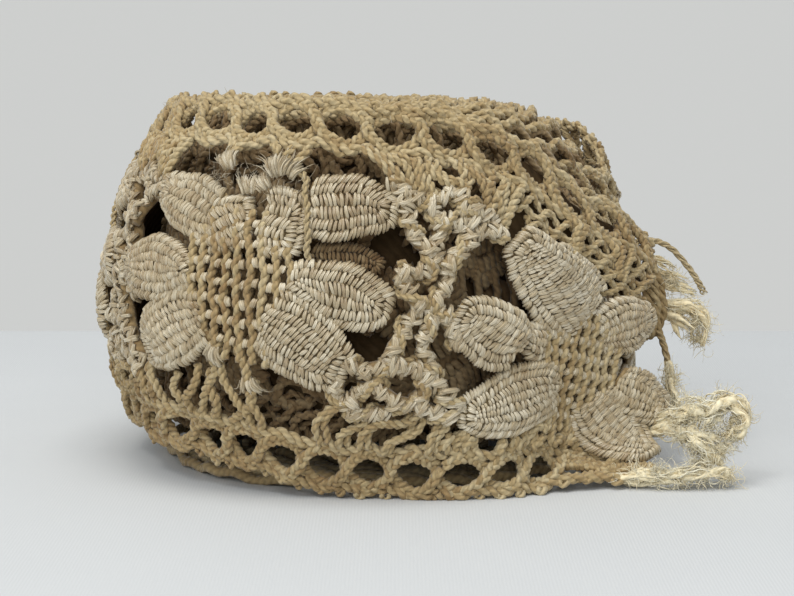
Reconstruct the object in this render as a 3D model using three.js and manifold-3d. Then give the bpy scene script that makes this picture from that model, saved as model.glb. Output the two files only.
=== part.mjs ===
// A loosely wound roll of cotton lace trim, standing on its edge.
// One strip is coiled about a vertical axis, its outer turns slipping down on
// the +X side, where the loose end leans over and finishes in a frayed cut.
// Millimetres, +Z up. Turn angles are in degrees: 0 faces -Y, 90 faces +X.
import * as THREE from 'three';
import { mergeVertices } from 'three/addons/utils/BufferGeometryUtils.js';
import Module from 'manifold-3d';

// ---- driving dimensions ------------------------------------------------
const STRIP_THICKNESS = 1.5;      // lace with its raised petals
const WIND_PITCH = 2.45;          // one turn to the next
const INNER_TURNS = 9.5;          // turns inside the tabled ones
const INNER_START_TURN = -450;    // where the even winding takes over
const INNER_FOOT_RADIUS = 26.6;   // lower edge, at INNER_START_TURN
const INNER_HEAD_HEIGHT = 41.2;
const HEAD_DRAW_IN = 4.2;         // upper edge is this much tighter
const SLIP_DOWN = 5.0;            // how far turns slip down on the +X side
const SLIP_FADE = 0.75;
const FLATTEN_FRONT = 0.15;       // front of the coil is pressed in
const FLATTEN_TURN = 22;
const COIL_OFFSET_X = 1.4;
const INNER_BELLY = 4.0;
const LOOSE_FROM_TURN = 20;       // the loose end starts here
const LOOSE_TO_TURN = 68;         // and is cut here
const SEAM_GAP_TURN = 0.62;       // 0.3 mm between the roll and the loose end
const STEP_TURN = 9.6;            // facet length along the winding
const ROWS_ACROSS = 4;            // facets across the strip
const TURN_UNDER = 13;            // how far a turned-under lower edge reaches
const ROLL_AXIS = { x: -4.59, y: -1.20 };  // puts the origin under the middle of the whole

// Sections of the two outer turns. foot = lower edge, head = upper edge,
// belly = how far the middle swells out, tuck = share of the lower edge turned flat.
const SECTIONS = [
  { turn:   68, footX:  31.0, footY: -22.0, footZ: 0.9, headX:  31.6, headY:  -3.0, headZ: 26.0, belly: 4.0, tuck: 0.8 },
  { turn:   52, footX:  22.0, footY: -24.0, footZ: 0.9, headX:  27.0, headY:  -8.6, headZ: 30.4, belly: 4.2, tuck: 0.7 },
  { turn:   32, footX:  13.0, footY: -27.4, footZ: 0.2, headX:  19.6, headY: -16.0, headZ: 35.8, belly: 3.2, tuck: 0.2 },
  { turn:   13, footX:   3.0, footY: -27.6, footZ: 0.0, headX:  11.0, headY: -20.8, headZ: 39.8, belly: 4.0, tuck: 0.0 },
  { turn:   -7, footX:  -6.0, footY: -26.8, footZ: 1.0, headX:   0.6, headY: -23.4, headZ: 41.8, belly: 4.8, tuck: 0.0 },
  { turn:  -26, footX: -13.6, footY: -24.6, footZ: 2.8, headX:  -9.0, headY: -22.4, headZ: 42.3, belly: 5.0, tuck: 0.0 },
  { turn:  -45, footX: -20.2, footY: -19.8, footZ: 3.8, headX: -16.4, headY: -17.4, headZ: 42.3, belly: 5.0, tuck: 0.0 },
  { turn:  -64, footX: -25.4, footY: -12.4, footZ: 3.9, headX: -21.2, headY: -10.6, headZ: 42.0, belly: 5.0, tuck: 0.0 },
  { turn:  -90, footX: -28.7, footY:   0.0, footZ: 3.4, headX: -23.8, headY:   0.0, headZ: 41.6, belly: 5.2, tuck: 0.0 },
  { turn: -135, footX: -20.6, footY:  20.4, footZ: 2.2, headX: -15.6, headY:  17.6, headZ: 41.4, belly: 5.0, tuck: 0.0 },
  { turn: -180, footX:   1.0, footY:  29.4, footZ: 0.8, headX:   3.0, headY:  25.6, headZ: 40.8, belly: 4.8, tuck: 0.0 },
  { turn: -225, footX:  21.6, footY:  21.0, footZ: 0.0, headX:  21.8, headY:  20.2, headZ: 38.4, belly: 4.2, tuck: 0.0 },
  { turn: -248, footX:  27.0, footY:  11.6, footZ: 0.0, headX:  26.8, headY:  11.2, headZ: 36.9, belly: 3.4, tuck: 0.0 },
  { turn: -270, footX:  28.6, footY:   1.0, footZ: 0.0, headX:  27.4, headY:   1.0, headZ: 33.0, belly: 2.4, tuck: 0.0 },
  { turn: -315, footX:  17.6, footY: -18.2, footZ: 0.0, headX:  16.4, headY: -12.6, headZ: 37.0, belly: 2.6, tuck: 0.0 },
  { turn: -360, footX:   0.0, footY: -24.5, footZ: 0.0, headX:   2.8, headY: -20.8, headZ: 40.8, belly: 3.8, tuck: 0.0 },
  { turn: -405, footX: -18.2, footY: -17.2, footZ: 0.0, headX: -14.0, headY: -15.0, headZ: 41.2, belly: 4.2, tuck: 0.0 },
];

// Frayed yarns at the cut: at = place up the cut edge (0 foot, 1 head),
// dx dy dz = from there to the tip, arch = rise of the middle.
const FRAY = [
  { at: 0.96, dx:  7.6, dy:  1.0, dz: -5.4, arch: 3.6, radius: 0.55 },
  { at: 0.86, dx:  6.6, dy: -1.0, dz: -6.0, arch: 2.0, radius: 1.10 },
  { at: 0.74, dx:  5.0, dy: -2.0, dz: -8.0, arch: 1.2, radius: 1.25 },
  { at: 0.60, dx:  2.6, dy: -3.4, dz: -6.6, arch: 0.6, radius: 0.70 },
  { at: 0.24, dx: 10.0, dy: -1.0, dz:  3.6, arch: 3.4, radius: 1.70 },
  { at: 0.14, dx: 11.2, dy: -2.6, dz:  3.0, arch: 1.6, radius: 1.90 },
  { at: 0.04, dx:  9.6, dy:  0.2, dz:  0.9, arch: 0.4, radius: 1.40 },
];

const rad = THREE.MathUtils.degToRad;
const COLUMNS = ['footX', 'footY', 'footZ', 'headX', 'headY', 'headZ', 'belly', 'tuck'];

// A section of the even winding inside the tabled turns.
function innerSection(turn) {
  const m = (INNER_START_TURN - turn) / 360;
  const a = rad(turn);
  const k = Math.max(0, 1 - m / INNER_TURNS);
  const right = (1 + Math.sin(a)) / 2;
  const front = Math.max(0, Math.cos(a - rad(FLATTEN_TURN))) ** 2;
  const foot = (INNER_FOOT_RADIUS - WIND_PITCH * m) * (1 - FLATTEN_FRONT * front * Math.exp(-0.5 * m));
  const head = foot - HEAD_DRAW_IN * k;
  return {
    turn,
    footX: COIL_OFFSET_X * k + foot * Math.sin(a), footY: -foot * Math.cos(a), footZ: 0,
    headX: 2 * COIL_OFFSET_X * k + head * Math.sin(a), headY: -head * Math.cos(a),
    headZ: INNER_HEAD_HEIGHT - SLIP_DOWN * right ** 2 * Math.exp(-SLIP_FADE * (m - 0.5)),
    belly: INNER_BELLY * k * Math.exp(-0.25 * m), tuck: 0,
  };
}

const stations = [];
for (let t = INNER_START_TURN - 360 * INNER_TURNS; t <= INNER_START_TURN + 0.1; t += 15) stations.push(innerSection(t));
stations.push(...[...SECTIONS].reverse());

// Smooth section at any turn angle, a cubic through the stations.
function sectionAt(turn) {
  let i = 0;
  while (i < stations.length - 2 && stations[i + 1].turn <= turn) i++;
  const slope = (n, c) => {
    const a = stations[Math.max(0, n - 1)], b = stations[Math.min(stations.length - 1, n + 1)];
    return (b[c] - a[c]) / (b.turn - a.turn);
  };
  const p = stations[i], q = stations[i + 1], h = q.turn - p.turn, s = (turn - p.turn) / h;
  const out = {};
  for (const c of COLUMNS) {
    out[c] = (2 * s ** 3 - 3 * s ** 2 + 1) * p[c] + (s ** 3 - 2 * s ** 2 + s) * h * slope(i, c)
      + (3 * s ** 2 - 2 * s ** 3) * q[c] + (s ** 3 - s ** 2) * h * slope(i + 1, c);
  }
  return out;
}

function outward(turn) {
  const a = sectionAt(turn - 0.5), b = sectionAt(turn + 0.5);
  const t = new THREE.Vector3(b.footX + b.headX - a.footX - a.headX, b.footY + b.headY - a.footY - a.headY, 0).normalize();
  return new THREE.Vector3(t.y, -t.x, 0);
}

// Mid-surface of the strip across its width, evenly spaced from foot to head.
function acrossStrip(turn, count) {
  const r = sectionAt(turn), out = outward(turn), up = new THREE.Vector3(0, 0, 1);
  const foot = new THREE.Vector3(r.footX, r.footY, r.footZ), head = new THREE.Vector3(r.headX, r.headY, r.headZ);
  const hang = foot.clone().lerp(head, 1 / 3).addScaledVector(out, r.belly * 4 / 3);
  const under = foot.clone().addScaledVector(out, -TURN_UNDER).addScaledVector(up, 1);
  const upper = foot.clone().lerp(head, 2 / 3).addScaledVector(out, r.belly * 4 / 3 * (1 + 0.8 * r.tuck)).addScaledVector(up, -4 * r.tuck);
  return new THREE.CubicBezierCurve3(foot, hang.lerp(under, r.tuck), upper, head).getSpacedPoints(count);
}

// A length of strip as one closed solid.
function stripSolid(fromTurn, toTurn, rows) {
  const n = Math.max(2, Math.ceil((toTurn - fromTurn) / STEP_TURN));
  const verts = [], faces = [], ring = 2 * (rows + 1);
  for (let i = 0; i <= n; i++) {
    const turn = fromTurn + (toTurn - fromTurn) * i / n;
    const mid = acrossStrip(turn, rows), before = acrossStrip(turn - 0.4, rows), after = acrossStrip(turn + 0.4, rows);
    const tucked = sectionAt(turn).tuck > 0.1;
    const normals = mid.map((p, j) => {
      const along = after[j].clone().sub(before[j]);
      const across = mid[Math.min(rows, j + 1)].clone().sub(mid[Math.max(0, j - 1)]);
      const nrm = along.cross(across).normalize();
      if (j === 0 && !tucked) nrm.setZ(0).normalize();
      return nrm;
    });
    for (let j = 0; j <= rows; j++) verts.push(mid[j].clone().addScaledVector(normals[j], STRIP_THICKNESS / 2));
    for (let j = rows; j >= 0; j--) verts.push(mid[j].clone().addScaledVector(normals[j], -STRIP_THICKNESS / 2));
  }
  const quad = (a, b, c, d) => faces.push(a, b, c, a, c, d);
  for (let i = 0; i < n; i++) {
    for (let k = 0; k < ring; k++) {
      const k2 = (k + 1) % ring;
      quad(i * ring + k, (i + 1) * ring + k, (i + 1) * ring + k2, i * ring + k2);
    }
  }
  for (let j = 0; j < rows; j++) {
    const o = j, o2 = j + 1, q = ring - 1 - j, q2 = ring - 2 - j, e = n * ring;
    quad(o, o2, q2, q);
    quad(e + o, e + q, e + q2, e + o2);
  }
  const g = new THREE.BufferGeometry();
  g.setAttribute('position', new THREE.Float32BufferAttribute(verts.flatMap((p) => [p.x, p.y, Math.max(0, p.z)]), 3));
  g.setIndex(faces);
  return g;
}

// One frayed yarn, a short tube from inside the cut edge to its tip.
function frayYarn({ at, dx, dy, dz, arch, radius }) {
  const edge = new THREE.CatmullRomCurve3(acrossStrip(LOOSE_TO_TURN, 12)).getPoint(at);
  const inside = new THREE.CatmullRomCurve3(acrossStrip(LOOSE_TO_TURN - 4, 12)).getPoint(at);
  const tip = edge.clone().add(new THREE.Vector3(dx, dy, dz));
  const mid = edge.clone().lerp(tip, 0.55).add(new THREE.Vector3(0, 0, arch));
  for (const p of [inside, edge, mid, tip]) p.z = Math.max(p.z, radius * 1.12);
  const path = new THREE.CatmullRomCurve3([inside, edge, mid, tip]);
  const section = new THREE.Shape();
  for (let i = 0; i < 8; i++) {
    const a = (i + 0.5) * Math.PI / 4;
    section[i ? 'lineTo' : 'moveTo'](radius * Math.cos(a), radius * Math.sin(a));
  }
  section.closePath();
  return new THREE.ExtrudeGeometry(section, { steps: 9, extrudePath: path, curveSegments: 1 });
}

const wasm = await Module();
wasm.setup();
function toManifold(g) {
  const bare = g.clone();
  bare.deleteAttribute('normal');
  bare.deleteAttribute('uv');
  const m = mergeVertices(bare, 1e-4);
  return new wasm.Manifold(new wasm.Mesh({
    numProp: 3, vertProperties: new Float32Array(m.attributes.position.array), triVerts: new Uint32Array(m.index.array),
  }));
}
function toGeometry(solid) {
  const mesh = solid.getMesh();
  const g = new THREE.BufferGeometry();
  g.setAttribute('position', new THREE.BufferAttribute(mesh.vertProperties, 3));
  g.setIndex(new THREE.BufferAttribute(mesh.triVerts, 1));
  return g;
}

const cotton = new THREE.MeshStandardMaterial({ color: 0xc8b68c, roughness: 0.92, metalness: 0 });
const cottonEnd = new THREE.MeshStandardMaterial({ color: 0xcfc09a, roughness: 0.92, metalness: 0 });

const roll = new THREE.Mesh(stripSolid(INNER_START_TURN - 360 * INNER_TURNS, LOOSE_FROM_TURN, ROWS_ACROSS), cotton);
roll.name = 'wound_roll';

let loose = toManifold(stripSolid(LOOSE_FROM_TURN + SEAM_GAP_TURN, LOOSE_TO_TURN, 10));
for (const row of FRAY) loose = loose.add(toManifold(frayYarn(row)));
const end = new THREE.Mesh(toGeometry(loose), cottonEnd);
end.name = 'loose_end';

const group = new THREE.Group();
group.position.set(ROLL_AXIS.x, ROLL_AXIS.y, 0);
group.add(roll, end);
export default group;
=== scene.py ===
"""Roll of lace trim: every yarn of the outer turns is laid along the wound strip.

Lace coordinates are in millimetres: u along the strip (0 at one flower's centre,
growing towards the cut end), v across it (-20 lower edge, +20 upper edge) and
n out from the strip's mid-surface.
"""
import math
import bpy
import numpy as np
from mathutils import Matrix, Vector


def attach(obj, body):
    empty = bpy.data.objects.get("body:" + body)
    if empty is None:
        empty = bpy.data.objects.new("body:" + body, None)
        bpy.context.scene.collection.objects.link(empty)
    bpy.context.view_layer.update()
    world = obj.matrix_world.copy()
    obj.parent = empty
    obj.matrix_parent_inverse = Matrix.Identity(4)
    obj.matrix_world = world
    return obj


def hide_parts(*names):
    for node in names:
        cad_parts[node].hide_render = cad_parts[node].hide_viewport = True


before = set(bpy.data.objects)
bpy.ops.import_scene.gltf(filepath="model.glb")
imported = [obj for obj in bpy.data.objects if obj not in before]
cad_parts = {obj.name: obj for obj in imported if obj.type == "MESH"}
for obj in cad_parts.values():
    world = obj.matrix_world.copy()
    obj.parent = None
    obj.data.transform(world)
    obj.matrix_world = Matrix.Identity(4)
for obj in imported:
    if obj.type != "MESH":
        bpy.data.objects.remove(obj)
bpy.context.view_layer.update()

rng = np.random.default_rng(20)

# ------------------------------------------------------------------ the wound strip
AXIS = np.array([-4.59, -1.20, 0.0])      # roll axis in the part's frame
WIND_PITCH = 2.45
INNER_TURNS = 9.5
INNER_START = -450.0
CUT_TURN = 68.0
SEAM_TURN = 20.0
# turn, foot x y z, head x y z, belly, tuck
SECTIONS = np.array([
    [-405, -18.2, -17.2, 0.0, -14.0, -15.0, 41.2, 4.2, 0.0],
    [-360,   0.0, -24.5, 0.0,   2.8, -20.8, 40.8, 3.8, 0.0],
    [-315,  17.6, -18.2, 0.0,  16.4, -12.6, 37.0, 2.6, 0.0],
    [-270,  28.6,   1.0, 0.0,  27.4,   1.0, 33.0, 2.4, 0.0],
    [-248,  27.0,  11.6, 0.0,  26.8,  11.2, 36.9, 3.4, 0.0],
    [-225,  21.6,  21.0, 0.0,  21.8,  20.2, 38.4, 4.2, 0.0],
    [-180,   1.0,  29.4, 0.8,   3.0,  25.6, 40.8, 4.8, 0.0],
    [-135, -20.6,  20.4, 2.2, -15.6,  17.6, 41.4, 5.0, 0.0],
    [ -90, -28.7,   0.0, 3.4, -23.8,   0.0, 41.6, 5.2, 0.0],
    [ -64, -25.4, -12.4, 3.9, -21.2, -10.6, 42.0, 5.0, 0.0],
    [ -45, -20.2, -19.8, 3.8, -16.4, -17.4, 42.3, 5.0, 0.0],
    [ -26, -13.6, -24.6, 2.8,  -9.0, -22.4, 42.3, 5.0, 0.0],
    [  -7,  -6.0, -26.8, 1.0,   0.6, -23.4, 41.8, 4.8, 0.0],
    [  13,   3.0, -27.6, 0.0,  11.0, -20.8, 39.8, 4.0, 0.0],
    [  32,  13.0, -27.4, 0.2,  19.6, -16.0, 35.8, 3.2, 0.2],
    [  52,  22.0, -24.0, 0.9,  27.0,  -8.6, 30.4, 4.2, 0.7],
    [  68,  31.0, -22.0, 0.9,  31.6,  -3.0, 26.0, 4.0, 0.8],
], float)


def inner_section(turn):
    m = (INNER_START - turn) / 360.0
    a = math.radians(turn)
    k = max(0.0, 1 - m / INNER_TURNS)
    right = (1 + math.sin(a)) / 2
    front = max(0.0, math.cos(a - math.radians(22))) ** 2
    foot = (26.6 - WIND_PITCH * m) * (1 - 0.15 * front * math.exp(-0.5 * m))
    head = foot - 4.2 * k
    return [turn, 1.4 * k + foot * math.sin(a), -foot * math.cos(a), 0.0,
            2.8 * k + head * math.sin(a), -head * math.cos(a),
            41.2 - 5.0 * right ** 2 * math.exp(-0.75 * (m - 0.5)), 4.0 * k * math.exp(-0.25 * m), 0.0]


STATIONS = np.vstack([[inner_section(t) for t in np.arange(INNER_START - 360 * INNER_TURNS, INNER_START + 0.1, 15.0)], SECTIONS])


def section_at(turn):
    x, y = STATIONS[:, 0], STATIONS[:, 1:]
    i = np.clip(np.searchsorted(x, turn, side="right") - 1, 0, len(x) - 2)
    t = np.empty_like(y)
    t[1:-1] = (y[2:] - y[:-2]) / (x[2:] - x[:-2])[:, None]
    t[0], t[-1] = (y[1] - y[0]) / (x[1] - x[0]), (y[-1] - y[-2]) / (x[-1] - x[-2])
    h = (x[i + 1] - x[i])[:, None]
    s = ((turn - x[i]) / (x[i + 1] - x[i]))[:, None]
    return ((2 * s ** 3 - 3 * s ** 2 + 1) * y[i] + (s ** 3 - 2 * s ** 2 + s) * h * t[i]
            + (3 * s ** 2 - 2 * s ** 3) * y[i + 1] + (s ** 3 - s ** 2) * h * t[i + 1])


def strip_grid(turn, nw=41):
    r = section_at(turn)
    a, b = section_at(turn - 0.5), section_at(turn + 0.5)
    t = b[:, 0:2] + b[:, 3:5] - a[:, 0:2] - a[:, 3:5]
    t /= np.linalg.norm(t, axis=1)[:, None]
    out = np.stack([t[:, 1], -t[:, 0], 0 * t[:, 0]], -1)
    up = np.array([0, 0, 1.0])
    foot, head, belly, tuck = r[:, 0:3], r[:, 3:6], r[:, 6:7], r[:, 7:8]
    hang = foot + (head - foot) / 3 + out * belly * 4 / 3
    under = foot - out * 13 + up
    p1 = hang + (under - hang) * tuck
    p2 = foot + (head - foot) * 2 / 3 + out * belly * 4 / 3 * (1 + 0.8 * tuck) - up * 4 * tuck
    q = np.linspace(0, 1, 61)
    base = np.stack([(1 - q) ** 3, 3 * q * (1 - q) ** 2, 3 * q * q * (1 - q), q ** 3], -1)
    c = np.einsum("qk,knd->nqd", base, np.stack([foot, p1, p2, head]))
    ln = np.concatenate([np.zeros((len(c), 1)), np.cumsum(np.linalg.norm(np.diff(c, axis=1), axis=2), 1)], 1)
    w = np.linspace(0, 1, nw)
    g = np.empty((len(c), nw, 3))
    for i in range(len(c)):
        for d in range(3):
            g[i, :, d] = np.interp(w * ln[i, -1], ln[i], c[i, :, d])
    return g


TURN = np.arange(INNER_START - 360 * INNER_TURNS, CUT_TURN + 0.01, 1.25)
GRID = strip_grid(TURN)
NW = GRID.shape[1]
_mid = GRID[:, NW // 2]
_s = np.concatenate([[0], np.cumsum(np.linalg.norm(np.diff(_mid, axis=0), axis=1))])
U_OF_TURN = _s - np.interp(-26.0, TURN, _s)
U_MIN, U_CUT = U_OF_TURN[0], U_OF_TURN[-1]


def u_at(turn):
    return float(np.interp(turn, TURN, U_OF_TURN))


U_SEAM = u_at(SEAM_TURN)
DU = 0.4
U_GRID = np.arange(U_MIN, U_CUT, DU)
_f = np.interp(U_GRID, U_OF_TURN, np.arange(len(TURN)))
_i = np.clip(_f.astype(int), 0, len(TURN) - 2)
_r = (_f - _i)[:, None, None]
POS = GRID[_i] * (1 - _r) + GRID[_i + 1] * _r
_du = np.gradient(POS, axis=0)
_dw = np.gradient(POS, axis=1)
NRM = np.cross(_du, _dw)
NRM /= np.linalg.norm(NRM, axis=2)[:, :, None]


def ease(x):
    x = np.clip(x, 0.0, 1.0)
    return x * x * (3 - 2 * x)


def lift(uvn):
    """Lace coordinates to the part's frame, in mm, with the strip's normal there."""
    u, v, n = uvn[..., 0], uvn[..., 1], uvn[..., 2]
    # the weave is not quite even; the upper border sags at the loose end; the wound turns lie closer
    uvn = np.stack([u + 0.16 * np.sin(0.9 * v + 0.31 * u) + 0.10 * np.sin(2.1 * v - 0.6 * u),
                    v + 0.18 * np.sin(0.47 * u + 0.3 * v) + 0.08 * np.sin(1.3 * u) - 2.2 * ease((u - 27) / 10) * ease((v - 6) / 8),
                    n - 0.9 * ease((-14 - u) / 14) + 0.15 * np.sin(0.7 * u + 0.5 * v)], -1)
    a = (uvn[..., 0] - U_GRID[0]) / DU
    b = (uvn[..., 1] + 20.0) / 40.0 * (NW - 1)
    i = np.clip(np.floor(a).astype(int), 0, len(U_GRID) - 2)
    j = np.clip(np.floor(b).astype(int), 0, NW - 2)
    fa, fb = (a - i)[..., None], (b - j)[..., None]      # past the edges this extends straight on

    def mix(g):
        return (g[i, j] * (1 - fa) * (1 - fb) + g[i + 1, j] * fa * (1 - fb)
                + g[i, j + 1] * (1 - fa) * fb + g[i + 1, j + 1] * fa * fb)
    nrm = mix(NRM)
    nrm /= np.linalg.norm(nrm, axis=-1)[..., None]
    p = mix(POS) + nrm * uvn[..., 2:3] + AXIS
    return p, nrm


# ------------------------------------------------------------------ yarn meshes
class Yarns:
    """Collects tubes and makes one joined mesh of them."""

    def __init__(self, name):
        self.name, self.v, self.tint, self.polys, self.uv = name, [], [], [], []
        self.count, self.tris = 0, 0

    def tubes(self, pts, nrm, radius, sides, flat=1.0, tint=None, along=0.0):
        """pts (m,k,3) mm; radius scalar, (m,1) or (m,k); flat = height over width."""
        m, k, _ = pts.shape
        t = np.gradient(pts, axis=1)
        t /= np.maximum(np.linalg.norm(t, axis=2), 1e-9)[:, :, None]
        side = np.cross(t, nrm)
        side /= np.maximum(np.linalg.norm(side, axis=2), 1e-9)[:, :, None]
        top = np.cross(side, t)
        r = np.broadcast_to(np.asarray(radius, float), (m, k))[:, :, None, None]
        ang = (np.arange(sides) + 0.5) * 2 * np.pi / sides
        ring = (top[:, :, None, :] * (np.cos(ang) * flat)[None, None, :, None]
                + side[:, :, None, :] * np.sin(ang)[None, None, :, None]) * r + pts[:, :, None, :]
        self.v.append(ring.reshape(-1, 3))
        if tint is None:
            tint = rng.random((m, 1))
        self.tint.append(np.repeat(np.broadcast_to(tint, (m, k)).reshape(-1), sides))
        length = np.concatenate([np.zeros((m, 1)), np.cumsum(np.linalg.norm(np.diff(pts, axis=1), axis=2), 1)], 1) + along
        idx = (np.arange(m * k * sides) + self.count).reshape(m, k, sides)
        nxt = np.roll(idx, -1, axis=2)
        quads = np.stack([idx[:, :-1], nxt[:, :-1], nxt[:, 1:], idx[:, 1:]], -1).reshape(-1, 4)
        a0 = np.broadcast_to((np.arange(sides) / sides)[None, None, :], (m, k - 1, sides))
        a1 = a0 + 1.0 / sides
        l0 = np.broadcast_to(length[:, :-1, None], (m, k - 1, sides))
        l1 = np.broadcast_to(length[:, 1:, None], (m, k - 1, sides))
        uv = np.stack([np.stack([l0, a0], -1), np.stack([l0, a1], -1), np.stack([l1, a1], -1), np.stack([l1, a0], -1)], -2).reshape(-1, 2)
        self.polys.append(quads)
        self.uv.append(uv)
        for caps in (idx[:, 0, ::-1], idx[:, -1]):
            self.polys.append(np.ascontiguousarray(caps))
            self.uv.append(np.zeros((caps.size, 2)))
        self.count += m * k * sides
        self.tris += len(quads) * 2 + 2 * m * (sides - 2)

    def lace(self, uvn, radius, sides, flat=1.0, tint=None):
        p, n = lift(uvn)
        self.tubes(p, n, radius, sides, flat, tint)

    def patch(self, uvn, thick, tint):
        """A closed pad: uvn (a,b,3) is its outer face, thick mm deep."""
        a, b, _ = uvn.shape
        p, n = lift(uvn)
        lo = p - n * thick
        both = np.stack([p, lo]).reshape(-1, 3)
        idx = (np.arange(2 * a * b) + self.count).reshape(2, a, b)
        q = []

        def add(w, x, y, z):
            q.append(np.stack([w, x, y, z], -1).reshape(-1, 4))
        add(idx[0, :-1, :-1], idx[0, 1:, :-1], idx[0, 1:, 1:], idx[0, :-1, 1:])
        add(idx[1, :-1, :-1], idx[1, :-1, 1:], idx[1, 1:, 1:], idx[1, 1:, :-1])
        add(idx[0, :-1, 0], idx[1, :-1, 0], idx[1, 1:, 0], idx[0, 1:, 0])
        add(idx[0, :-1, -1], idx[0, 1:, -1], idx[1, 1:, -1], idx[1, :-1, -1])
        add(idx[0, 0, :-1], idx[0, 0, 1:], idx[1, 0, 1:], idx[1, 0, :-1])
        add(idx[0, -1, :-1], idx[1, -1, :-1], idx[1, -1, 1:], idx[0, -1, 1:])
        q = np.concatenate(q)
        self.v.append(both)
        self.tint.append(np.full(len(both), tint))
        self.polys.append(q)
        # lace coordinates as the pad's own uv, so a weave can be drawn on it
        flat_uv = np.concatenate([uvn[..., :2].reshape(-1, 2)] * 2)
        self.uv.append(flat_uv[(q - self.count).reshape(-1)] * np.array([1.0, 0.25]))
        self.count += len(both)
        self.tris += len(q) * 2

    def build(self, material):
        v = np.concatenate(self.v) * 0.001
        v[:, 2] = np.maximum(v[:, 2], 0.00002)
        me = bpy.data.meshes.new(self.name)
        me.vertices.add(len(v))
        me.vertices.foreach_set("co", v.astype(np.float32).ravel())
        total = np.concatenate([np.full(len(p), p.shape[1]) for p in self.polys])
        loops = np.concatenate([p.ravel() for p in self.polys])
        me.loops.add(len(loops))
        me.loops.foreach_set("vertex_index", loops.astype(np.int32))
        me.polygons.add(len(total))
        me.polygons.foreach_set("loop_start", np.concatenate([[0], np.cumsum(total)[:-1]]).astype(np.int32))
        me.polygons.foreach_set("loop_total", total.astype(np.int32))
        me.polygons.foreach_set("use_smooth", np.ones(len(total), bool))
        layer = me.uv_layers.new(name="yarn")
        layer.data.foreach_set("uv", np.concatenate(self.uv).astype(np.float32).ravel())
        at = me.attributes.new("tint", "FLOAT", "POINT")
        at.data.foreach_set("value", np.concatenate(self.tint).astype(np.float32))
        me.update(calc_edges=True)
        me.validate()
        me.materials.append(material)
        ob = bpy.data.objects.new(self.name, me)
        bpy.context.scene.collection.objects.link(ob)
        return ob


def resample(path, step):
    path = np.asarray(path, float)
    d = np.concatenate([[0], np.cumsum(np.linalg.norm(np.diff(path[:, :2], axis=0), axis=1))])
    n = max(4, int(round(d[-1] / step)) + 1)
    s = np.linspace(0, d[-1], n)
    return np.stack([np.interp(s, d, path[:, c]) for c in range(path.shape[1])], -1), s


def smooth(points, n=24):
    """Catmull-Rom through a few (u, v, n) points."""
    p = np.asarray(points, float)
    p = np.vstack([2 * p[0] - p[1], p, 2 * p[-1] - p[-2]])
    out = []
    t = np.linspace(0, 1, n, endpoint=False)[:, None]
    for i in range(1, len(p) - 2):
        a, b, c, d = p[i - 1], p[i], p[i + 1], p[i + 2]
        out.append(0.5 * (2 * b + (c - a) * t + (2 * a - 5 * b + 4 * c - d) * t ** 2 + (3 * b - a - 3 * c + d) * t ** 3))
    return np.vstack(out + [p[-2:-1]])


LOD = 0          # 0 where the lace is seen close, 2 at the back


def plait(yarns, path, step, lam, wide, deep, radius, sides, strands=3, phase=0.0, by_u=False, tint=None, jitter=0.03, flat=1.0):
    """strands 3: a flat plait.  strands 2: a twisted pair."""
    c, s = resample(path, step * (1.0, 1.2, 1.5)[LOD])
    sides = max(4, sides - LOD)
    t = np.gradient(c[:, :2], axis=0)
    t /= np.maximum(np.linalg.norm(t, axis=1), 1e-9)[:, None]
    th = 2 * np.pi * ((c[:, 0] if by_u else s) / lam) + phase
    out = []
    for k in range(strands):
        a = th + 2 * np.pi * k / strands
        if strands == 2:
            lat, nor = wide * np.cos(a), deep * np.sin(a)
        else:
            lat, nor = wide * np.sin(a), deep * np.sin(2 * a)
        q = c.copy()
        q[:, 0] += -t[:, 1] * lat
        q[:, 1] += t[:, 0] * lat
        q[:, 2] += nor
        q += rng.normal(0, jitter, q.shape)
        out.append(q)
    yarns.lace(np.array(out), radius, sides, flat, tint)


# ------------------------------------------------------------------ lace pattern
REPEAT = 40.5                 # flower to flower
EYE = 5.5                     # eyelet pitch of the borders
EYE_AT = {1: 1.9, -1: 0.2}    # where an eyelet sits on the upper and lower border
EDGE_V, BORDER_V, EYE_V = 19.45, 14.85, 17.2


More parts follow.
